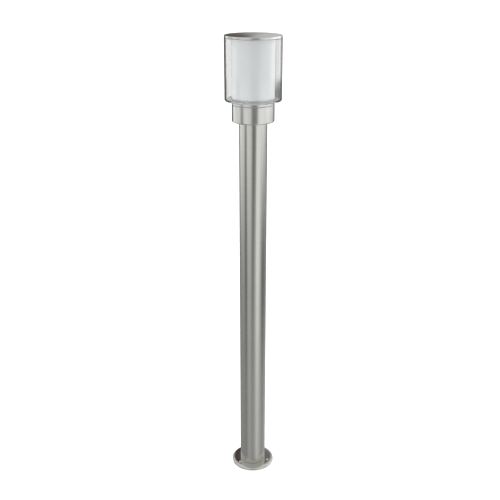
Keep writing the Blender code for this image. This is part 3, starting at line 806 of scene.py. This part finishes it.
def make_lampholder():
    """Glazed body, threaded shell and centre contact."""
    low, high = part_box("lampholder_body")
    radius = high.x
    bore = 0.0150
    floor = 0.8785
    body = turned("lampholder_body", [
        (0.0, floor, 0.0), (bore, floor, 0.0006), (bore, high.z, 0.0010),
        (radius, high.z, 0.0018), (radius, high.z - 0.006, 0.0004),
        (radius - 0.0008, high.z - 0.0066, 0.0004), (radius - 0.0008, low.z + 0.010, 0.0004),
        (radius, low.z + 0.0092, 0.0004), (radius, low.z, 0.0012), (0.0, low.z, 0.0),
    ], 160)
    cuts = [upright_bar(24, (side * HOLDER_SCREW_X, 0), 0.8625, 0.8740, 0.0021)
            for side in (-1, 1)]
    cuts += [bar_mesh(24, (x, -0.024, 0.8725), (x, -0.0135, 0.8725), 0.0018)
             for x in (-0.008, 0.008)]
    carve(body, cuts)
    shell_low, shell_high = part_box("socket_shell")
    sides = 96
    heights = np.linspace(shell_low.z, shell_high.z, 90)
    rows = []
    for offset, order in ((0.00075, heights[::-1]), (0.00040, heights)):
        for z in order:
            ends = min(z - shell_low.z, shell_high.z - z)
            fade = min(1.0, max(0.0, ends / 0.0015))
            rows.append(circle(sides, z, lambda angle: thread_radius(
                angle, z, LAMP_CREST_R, LAMP_THREAD_DEPTH * fade) + offset))
    piece("socket_shell", grid_mesh("socket_shell", rows, closed=True), "socket_shell")
    low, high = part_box("centre_contact")
    turned("centre_contact", [
        (0.0, high.z, 0.0), (0.0022, high.z, 0.0006), (0.0040, high.z - 0.0006, 0.0002),
        (0.0040, low.z, 0.0), (0.0, low.z, 0.0),
    ], 48)


def make_terminals():
    """Terminal block with a rib between its poles, its slotted screws and earth tag."""
    low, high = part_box("terminal_block")
    block = piece("terminal_block", block_mesh(low, high), "terminal_block", shaded=False)
    cuts = []
    for x, half in ((-0.004, 0.0006), (0.004, 0.0006), (-0.0126, 0.0010), (0.0126, 0.0010)):
        cuts.append(block_mesh((x - half, low.y - 0.001, high.z - 0.0045),
                               (x + half, high.y + 0.001, high.z + 0.001)))
    for x in (-0.008, 0.0, 0.008):
        cuts.append(bar_mesh(32, (x, low.y - 0.002, TERMINAL_Z), (x, high.y + 0.002, TERMINAL_Z),
                             0.0019))
        cuts.append(upright_bar(32, (x, 0.028), TERMINAL_Z, high.z + 0.002, 0.0022))
    carve(block, cuts, angle=30.0)
    soften = block.modifiers.new("edges", "BEVEL")
    soften.width = 0.00025
    soften.segments = 2
    soften.angle_limit = math.radians(40)
    rng = random.Random(9)
    for word in ("live", "earth", "neutral"):
        node = f"terminal_screw_{word}"
        low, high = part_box(node)
        centre = ((low.x + high.x) / 2, (low.y + high.y) / 2)
        screw = turned(node, [
            (0.0, high.z, 0.0), (0.0019, high.z, 0.0003), (0.0019, low.z, 0.0004),
            (0.0, low.z, 0.0),
        ], 48)
        carve(screw, [block_mesh((-0.003, -0.00025, high.z - 0.0009),
                                 (0.003, 0.00025, high.z + 0.001))])
        screw.data.transform(Matrix.Translation((*centre, 0.0))
                             @ Matrix.Rotation(rng.uniform(-0.8, 0.8), 4, "Z"))
    low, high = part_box("earth_tag")
    x = y = EARTH_SCREW_XY
    tag = piece("earth_tag", upright_bar(64, (x, y), low.z, high.z, 0.0040), "earth_tag")
    carve(tag, [block_mesh((low.x, y - 0.0018, low.z), (x - 0.003, y + 0.0018, high.z))], "UNION")
    carve(tag, [upright_bar(32, (x, y), low.z - 0.002, high.z + 0.002, 0.0022)])


def make_leads():
    """The three internal leads, on the same routes as their CAD tubes."""
    for node, side in (("lead_live", -1), ("lead_neutral", 1)):
        route = smooth_route([
            (side * 0.0080, 0.0290, TERMINAL_Z), (side * 0.0080, 0.0235, TERMINAL_Z),
            (side * 0.0088, 0.0120, 0.8598), (side * 0.0090, -0.0080, 0.8597),
            (side * 0.0090, -0.0210, 0.8601), (side * 0.0090, -0.0280, 0.8627),
            (side * 0.0088, -0.0305, 0.8671), (side * 0.0084, -0.0282, 0.8713),
            (side * 0.0080, -0.0235, 0.8725), (side * 0.0080, -0.0160, 0.8725),
        ])
        piece(node, tube_mesh(node, route, LEAD_R), node)
    route = smooth_route([
        (0.0, 0.0290, TERMINAL_Z), (0.0, 0.0238, TERMINAL_Z), (0.0015, 0.0200, 0.8591),
        (0.0055, 0.0178, 0.8571), (0.0095, 0.0171, 0.8564), (0.0126, 0.0170, 0.8563),
    ])
    piece("lead_earth", tube_mesh("lead_earth", route, LEAD_R), "lead_earth")


# ---------------------------------------------------------------- head
def make_head():
    """Carrier ring, gaskets, clear cylinder, centring ring and opal tube."""
    low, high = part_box("carrier_ring")
    band_low, band_high = 0.8885, 0.8935
    radius = high.x
    step = 0.8860
    bore, spigot, neck, skirt = 0.0345, 0.0365, 0.0432, 0.038
    turned("carrier_ring", [
        (bore, high.z, 0.0003), (spigot, high.z, 0.0004), (spigot, band_high, 0.0002),
        (radius, band_high, 0.0005), (radius, band_low, 0.0002), (neck, band_low, 0.0002),
        (neck, step, 0.0003), (skirt, step, 0.0004), (skirt, low.z, 0.0003),
        (0.036, low.z, 0.0003), (bore, step, 0.0004),
    ], 192)
    low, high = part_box("clear_cylinder")
    radius = high.x
    wall = 0.004
    floor_hole = 0.0453
    turned("clear_cylinder", [
        (radius - wall, high.z, 0.0004), (radius, high.z, 0.0006), (radius, low.z, 0.0032),
        (floor_hole, low.z, 0.0004), (floor_hole, low.z + wall, 0.0004),
        (radius - wall, low.z + wall, 0.0015),
    ], 256, 14, angle=60.0)
    ring("opal_tube", 0.0004, 192)
    for node in ("lower_glass_gasket", "glass_seal", "lid_gasket"):
        ring(node, 0.0002)
    inner, outer, low_z, high_z = ring_size("centring_ring")
    centring = turned("centring_ring", [
        (inner, high_z, 0.0003), (outer, high_z, 0.0008),
        (outer, low_z, 0.0004), (inner, low_z, 0.0003),
    ], 160)
    middle = (inner + outer) / 2
    carve(centring, [upright_bar(24, (x, y), low_z - 0.001, high_z + 0.001, 0.0015)
                     for x, y, _ in circle(8, 0.0, lambda angle: middle)])


def make_lid():
    """Pressed lid with a rolled edge and its moulded insert."""
    low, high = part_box("lid")
    radius = high.x
    sheet = 0.0012
    inner = radius - sheet
    turned("lid", [
        (0.0, high.z, 0.0), (radius, high.z, 0.0013), (radius, low.z, 0.0004),
        (inner, low.z, 0.0003), (inner, high.z - sheet, 0.0008), (0.0, high.z - sheet, 0.0),
    ], 256, 10)
    low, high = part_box("lid_insert")
    flange_low = 1.0231
    plug, recess, recess_depth = 0.0427, 0.036, 0.0016
    turned("lid_insert", [
        (0.0, high.z, 0.0), (high.x, high.z, 0.0004), (high.x, flange_low, 0.0004),
        (plug, flange_low, 0.0003), (plug, low.z, 0.0006), (recess, low.z, 0.0003),
        (recess, low.z + recess_depth, 0.0003), (0.0, low.z + recess_depth, 0.0),
    ], 160)


# ---------------------------------------------------------------- lamp
def make_lamp():
    """The screw-in lamp, with a true right-hand thread and a ribbed housing."""
    low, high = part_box("lamp_tip")
    turned("lamp_tip", [
        (0.0, high.z, 0.0), (0.0045, high.z, 0.0003), (0.0045, low.z + 0.0012, 0.0004),
        (0.0026, low.z, 0.0010), (0.0, low.z, 0.0),
    ], 48)
    low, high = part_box("lamp_insulator")
    turned("lamp_insulator", [
        (0.0, high.z, 0.0), (0.0110, high.z, 0.0005), (0.0070, low.z, 0.0006), (0.0, low.z, 0.0),
    ], 64)
    make_lamp_cap()
    make_lamp_housing()
    make_led_board()
    make_lamp_globe()


def make_lamp_cap():
    """The lamp's threaded cap, rolled in at its top and closed in at its bottom."""
    low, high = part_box("lamp_cap")
    sides = 96
    heights = np.linspace(low.z + 0.0012, high.z - 0.0022, 92)
    top = ((0.0112, high.z), (0.0128, high.z), (LAMP_CREST_R, high.z - 0.0004),
           (0.0130, high.z - 0.0012))
    bottom = ((0.0112, low.z), (0.0101, low.z), (0.0106, low.z + 0.0008))
    rows = [circle(sides, z, lambda angle: r) for r, z in top]
    for z in heights[::-1]:
        fade = min(1.0, max(0.0, (z - heights[0]) / 0.002), max(0.0, (heights[-1] - z) / 0.001))
        crest = LAMP_CREST_R - 0.0008 * (1 - fade)
        rows.append(circle(sides, z, lambda angle: thread_radius(
            angle, z, crest, LAMP_THREAD_DEPTH * fade)))
    rows += [circle(sides, z, lambda angle: r) for r, z in bottom]
    piece("lamp_cap", grid_mesh("lamp_cap", rows, closed=True), "lamp_cap")


def make_lamp_globe():
    """Opal globe: most of a thin sphere, open where it sits in the housing."""
    low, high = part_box("lamp_globe")
    radius = 0.030
    centre_z = high.z - radius
    wall = 0.0015
    start = -math.asin((centre_z - low.z) / radius)
    outside = [(radius * math.cos(a), centre_z + radius * math.sin(a))
               for a in np.linspace(math.pi / 2, start, 40)]
    within = [(r * (radius - wall) / radius, centre_z + (z - centre_z) * (radius - wall) / radius)
              for r, z in reversed(outside)]
    outside[0] = (0.0, outside[0][1])
    within[-1] = (0.0, within[-1][1])
    within[0] = (outside[-1][0] - wall, low.z)
    piece("lamp_globe", lathe_mesh("lamp_globe", outside + within, 128), "lamp_globe")


def make_lamp_housing():
    """Plastic housing with shallow cooling ribs round its flare."""
    low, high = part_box("lamp_housing")
    flare = [
        (0.0279, high.z - 0.0035), (0.0262, high.z - 0.0075), (0.0240, high.z - 0.0120),
        (0.0214, high.z - 0.0175), (0.0192, high.z - 0.0225), (0.0175, high.z - 0.0270),
        (0.0158, high.z - 0.0315),
    ]
    outline = [
        (0.0270, high.z), (0.0288, high.z), (0.02875, high.z - 0.0012), *flare,
        (0.0145, low.z + 0.0030), (0.0140, low.z), (0.0122, low.z), (0.0157, high.z - 0.0270),
        (0.0222, high.z - 0.0120),
    ]
    ribs = 24
    rib_depth = 0.0008

    def ribbed(angle, r):
        return r - rib_depth * (0.5 - 0.5 * math.cos(angle * ribs)) ** 2

    rows = [circle(ribs * 8, z, lambda angle: ribbed(angle, r) if (r, z) in flare else r)
            for r, z in outline]
    piece("lamp_housing", grid_mesh("lamp_housing", rows, closed=True), "lamp_housing")


def make_led_board():
    """White board with a ring of LED chips."""
    low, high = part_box("led_board")
    turned("led_board", [
        (0.0, high.z, 0.0), (high.x, high.z, 0.0002), (high.x, low.z, 0.0002), (0.0, low.z, 0.0),
    ], 96)
    count = 14
    chip_width, chip_height, chip_circle = 0.0028, 0.0006, 0.017
    bm = bmesh.new()
    for i in range(count):
        angle = math.tau * i / count
        chip = bmesh.ops.create_cube(bm, size=1.0)["verts"]
        bmesh.ops.scale(bm, vec=(chip_width, chip_width, chip_height), verts=chip)
        bmesh.ops.translate(bm, vec=(chip_circle, 0.0, high.z + chip_height / 2), verts=chip)
        bmesh.ops.rotate(bm, cent=(0, 0, 0), matrix=Matrix.Rotation(angle, 3, "Z"), verts=chip)
    mesh = bpy.data.meshes.new("led_chips")
    bm.to_mesh(mesh)
    bm.free()
    piece("led_chips", mesh, material="led_phosphor", body=BODY_OF["led_board"])


# ---------------------------------------------------------------- studio
def make_floor():
    """A plain pale floor."""
    made, graph, shader = new_material("floor")
    cloud = graph.noise(graph.place(1.5), 2.0)
    graph.link(graph.mix(cloud, (0.87, 0.87, 0.87, 1.0), (0.89, 0.89, 0.89, 1.0)),
               shader.inputs["Base Color"])
    shader.inputs["Roughness"].default_value = 0.9
    shader.inputs["Specular IOR Level"].default_value = 0.1
    mesh = bpy.data.meshes.new("floor")
    half = 30.0
    mesh.from_pydata([(-half, -half, 0), (half, -half, 0), (half, half, 0), (-half, half, 0)],
                     [], [(0, 1, 2, 3)])
    mesh.materials.append(made)
    floor = bpy.data.objects.new("floor", mesh)
    floor.location.z = CAD_LOW.z - 0.0002
    floor.visible_glossy = False
    floor.visible_transmission = False
    bpy.context.scene.collection.objects.link(floor)


# Light levels round the studio, as (azimuth in degrees, level); 0 is in front of the light.
BROWN = (0.095, 0.072, 0.060)
SIDE_BOXES = (
    (-180, BROWN), (-152, 0.12), (-141, 0.30), (-134, 1.30), (-122, 1.30), (-112, 0.55),
    (-96, 0.60), (-84, 1.0), (-72, 1.05), (-58, 0.88), (-15, 0.86), (-5, 0.60), (3, 0.44),
    (20, 0.44), (32, 0.86), (50, 1.02), (70, 1.08), (80, 1.75), (134, 1.9), (141, 0.40),
    (180, 0.20),
)
UPPER_WALLS = (
    (-180, BROWN), (-152, 0.11), (-141, 0.18), (-134, 0.90), (-122, 1.16), (-110, 1.24),
    (-94, 1.12), (-80, 0.94), (-74, 0.74), (-68, 0.26), (-60, 0.18), (-54, 0.76), (-49, 1.10),
    (-34, 1.10), (-15, 0.92), (-9, 0.62), (-3, 0.15), (12, 0.08), (19, 0.15), (24, 0.48),
    (30, 1.00), (37, 1.10), (54, 1.18), (75, 1.20), (92, 1.08), (117, 0.72), (143, 0.20),
    (180, 0.15),
)
LOWER_WALLS = (
    (-180, BROWN), (-143, 0.26), (-108, 0.34), (-93, 0.36), (-82, 0.34), (-71, 0.22),
    (-62, 0.09), (-52, 0.24), (-44, 0.48), (-24, 0.50), (-15, 0.33), (-6, 0.20), (3, 0.29),
    (11, 0.44), (20, 0.66), (28, 0.98), (37, 1.04), (50, 0.94), (60, 0.70), (70, 0.40),
    (80, 0.12), (97, 0.05), (110, 0.14), (125, 0.26), (144, 0.36), (180, 0.25),
)
GROUND = (
    (-180, 0.30), (-123, 0.33), (-56, 0.33), (-35, 0.48), (-6, 0.41), (12, 0.45), (40, 0.71),
    (62, 0.55), (99, 0.40), (136, 0.52), (180, 0.40),
)
CEILING = (0.87, 0.87, 0.86, 1.0)
SHADOW = (0.05, 0.045, 0.045, 1.0)
WHITE = (1.0, 1.0, 1.0, 1.0)


def mirrored_light(graph, x, z, turn):
    """What the steel, glass and plastic mirror: walls, side boxes, ceiling, dark back wall."""
    place = graph.math("MULTIPLY_ADD", turn, 1.0 / math.tau, 0.5)

    def all_round(stops):
        return graph.ramp(place, [(0.5 + angle / 360.0, level) for angle, level in stops])

    boxes, upper = all_round(SIDE_BOXES), all_round(UPPER_WALLS)
    lower, ground = all_round(LOWER_WALLS), all_round(GROUND)
    light = graph.mix(graph.spread(z, -0.19, -0.36, 0.0, 1.0), upper, lower)
    light = graph.mix(graph.spread(z, -0.40, -0.54, 0.0, 1.0), light, ground)
    light = graph.mix(graph.spread(z, -0.150, -0.142, 0.0, 1.0), light, boxes)
    light = graph.mix(graph.spread(z, 0.10, 0.50, 0.0, 1.0), light, CEILING)
    grey = graph.spread(z, 0.09, 0.59, 0.66, 0.23)
    wall = graph.mix(graph.spread(x, -0.013, 0.007, 0.0, 1.0), (*BROWN, 1.0), grey)
    behind = graph.spread(graph.math("ABSOLUTE", turn), 2.7, 2.95, 0.0, 1.0)
    behind = graph.math("MULTIPLY", behind, graph.spread(z, -0.06, 0.03, 0.0, 1.0))
    behind = graph.math("MULTIPLY", behind, graph.spread(z, 0.66, 0.78, 1.0, 0.0))
    return graph.mix(behind, light, wall)


def scattered_light(graph, y, z):
    """The soft light that falls on everything, stronger from behind and from the sides."""
    front = graph.math("MULTIPLY", y, -1.0)
    level = graph.spread(front, -0.2, 1.0, 2.70, 1.30)
    level = graph.math("MULTIPLY", level, graph.spread(z, 0.0, 1.0, 1.0, 0.55))
    light = graph.node("ShaderNodeCombineColor")
    for socket in light.inputs[:3]:
        graph.link(level, socket)
    return light.outputs[0]


def light_through_glass(graph, x, y, z):
    """What is seen through the clear wall: a dim room, and a backdrop with a dark left edge."""
    room = graph.spread(z, -0.05, -0.18, 1.0, 0.35)
    backdrop = graph.ramp(graph.spread(x, -0.05, 0.05, 0.0, 1.0), [
        (0.0, 0.85), (0.145, 0.75), (0.165, 0.50), (0.185, 0.28), (0.20, 0.05), (0.30, 0.05),
        (0.70, 0.50), (1.0, 0.55),
    ])
    shade = graph.math("MULTIPLY", graph.spread(x, 0.0, 0.01, 0.0, 1.0),
                       graph.spread(z, -0.146, -0.160, 0.0, 0.92))
    backdrop = graph.mix(shade, backdrop, SHADOW)
    return graph.mix(graph.spread(y, 0.35, 0.80, 0.0, 1.0), room, backdrop)


def make_studio():
    """Soft light all round, with its own levels for mirrored, scattered and passed rays."""
    world = bpy.data.worlds.new("studio")
    bpy.context.scene.world = world
    world.use_nodes = True
    world.cycles.sampling_method = "NONE"
    graph = Graph(world.node_tree)
    output = world.node_tree.nodes["Background"]
    split = graph.node("ShaderNodeSeparateXYZ")
    graph.link(graph.node("ShaderNodeTexCoord").outputs["Generated"], split.inputs[0])
    x, y, z = split.outputs
    turn = graph.math("ARCTAN2", x, graph.math("MULTIPLY", y, -1.0))
    rays = graph.node("ShaderNodeLightPath")
    seen = WHITE
    for kind, light in (
        ("Transmission Depth", light_through_glass(graph, x, y, z)),
        ("Glossy Depth", mirrored_light(graph, x, z, turn)),
        ("Diffuse Depth", scattered_light(graph, y, z)),
    ):
        met = graph.math("GREATER_THAN", rays.outputs[kind], 0.5)
        seen = graph.mix(met, seen, light)
    graph.link(seen, output.inputs["Color"])
    output.inputs["Strength"].default_value = 1.0


make_floor()
make_studio()
make_base_flange()
make_grommet("foot_grommet")
make_grommet("collar_grommet")
make_pole()
make_collar_cup()
make_head_screws()
make_pan_screws()
make_holder_bracket()
make_lampholder()
make_terminals()
make_leads()
make_head()
make_lid()
make_lamp()

bpy.context.scene.view_settings.view_transform = "Standard"
bpy.context.view_layer.update()
